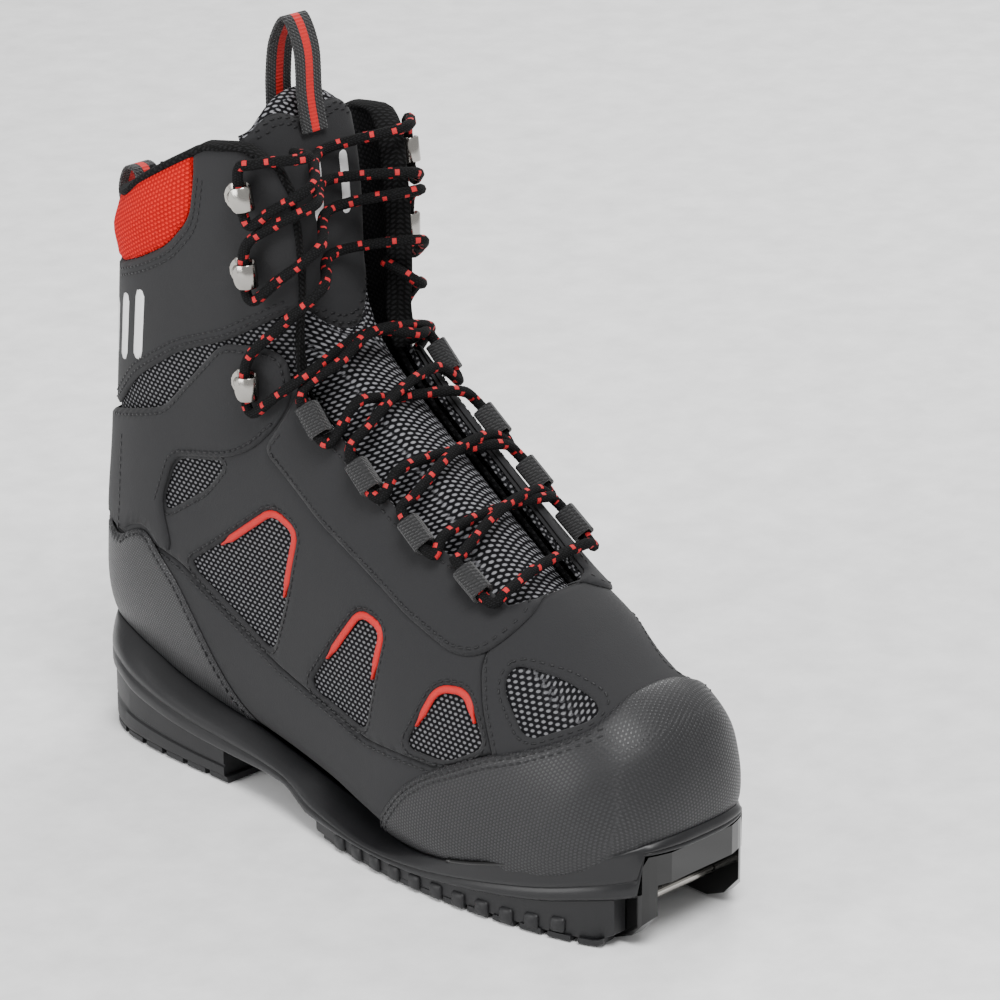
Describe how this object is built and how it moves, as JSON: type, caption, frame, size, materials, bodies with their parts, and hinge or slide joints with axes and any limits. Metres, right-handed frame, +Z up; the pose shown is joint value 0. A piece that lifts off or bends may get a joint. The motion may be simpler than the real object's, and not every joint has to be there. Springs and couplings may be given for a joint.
{
  "type": "cross country ski boot",
  "caption": "High-cut laced cross country touring ski boot with toe bar, grooved sole, mesh and synthetic panels, padded collar, speed hooks, webbing lace loops and pull tabs.",
  "frame": {"origin": "on the ground, under the middle of the bounding box", "axes": "+Z up, toe towards -Y, heel towards +Y, outer (lateral) side of this right boot towards -X"},
  "size_m": [0.103, 0.3053, 0.2994],
  "materials": {
    "nubuck": "matte synthetic nubuck, charcoal",
    "embossed": "embossed coated synthetic, satin",
    "mesh": "two-tone woven mesh",
    "red_textile": "red knitted mesh and trim",
    "lining": "black lining textile",
    "foam": "foam behind textile",
    "fibreboard": "stiffener board, hidden",
    "webbing": "ribbed black webbing",
    "binding": "braided black binding tape",
    "lace": "round black braid with red flecks",
    "sole_rubber": "satin black rubber",
    "gloss_plastic": "piano-gloss black insert",
    "nickel": "satin nickel",
    "shank_steel": "spring steel, hidden"
  },
  "bodies": {
    "shoe": {"lining": "lining", "toe_puff": "fibreboard", "heel_stiffener": "fibreboard", "collar_foam": "foam", "mesh_vamp": "mesh", "mesh_cuff": "mesh", "mesh_quarter": "mesh", "vamp": "nubuck", "collar_pad": "red_textile", "quarter_lateral": "nubuck", "mudguard_lateral": "nubuck", "cuff_lateral": "nubuck", "window_trim_lateral_rear": "red_textile", "window_trim_lateral_middle": "red_textile", "window_trim_lateral_front": "red_textile", "quarter_medial": "nubuck", "mudguard_medial": "nubuck", "cuff_medial": "nubuck", "window_trim_medial_long": "red_textile", "toe_cap": "embossed", "heel_counter": "embossed", "eyestay_lateral": "nubuck", "ankle_panel_lateral": "nubuck", "collar_binding_lateral": "binding", "eyestay_medial": "nubuck", "ankle_panel_medial": "nubuck", "collar_binding_medial": "binding", "midsole": "sole_rubber", "shank": "shank_steel", "insole_board": "fibreboard", "footbed": "foam", "heel_tread": "sole_rubber", "forefoot_tread": "sole_rubber", "toe_insert": "gloss_plastic", "toe_bar": "nickel", "lace_loop_lateral_1": "webbing", "lace_loop_lateral_2": "webbing", "lace_loop_lateral_3": "webbing", "lace_loop_lateral_4": "webbing", "hook_lock_lateral": "nickel", "hook_low_lateral": "nickel", "hook_high_lateral": "nickel", "lace_loop_medial_1": "webbing", "lace_loop_medial_2": "webbing", "lace_loop_medial_3": "webbing", "lace_loop_medial_4": "webbing", "hook_lock_medial": "nickel", "hook_low_medial": "nickel", "hook_high_medial": "nickel", "lace": "lace"},
    "tongue": {"tongue_cover": "nubuck", "tongue_mesh": "mesh", "tongue_pad": "foam"},
    "tongue_loop": {"tongue_pull_loop": "webbing"},
    "heel_loop": {"heel_pull_loop": "webbing"}
  },
  "joints": [
    {"name": "tongue_press", "type": "hinge", "parent": "shoe", "child": "tongue", "pos_m": [0, -0.08, 0.1], "axis": [1, 0, 0], "range_deg": [-2.5, 0], "stiffness_Nm_per_rad": 2},
    {"name": "tongue_loop_flop", "type": "hinge", "parent": "tongue", "child": "tongue_loop", "pos_m": [0, 0.0555, 0.27], "axis": [0, 1, 0], "range_deg": [-30, 30], "stiffness_Nm_per_rad": 0.02},
    {"name": "heel_loop_flop", "type": "hinge", "parent": "shoe", "child": "heel_loop", "pos_m": [0, 0.1388, 0.206], "axis": [0, 0, 1], "range_deg": [-25, 25], "stiffness_Nm_per_rad": 0.02}
  ]
}
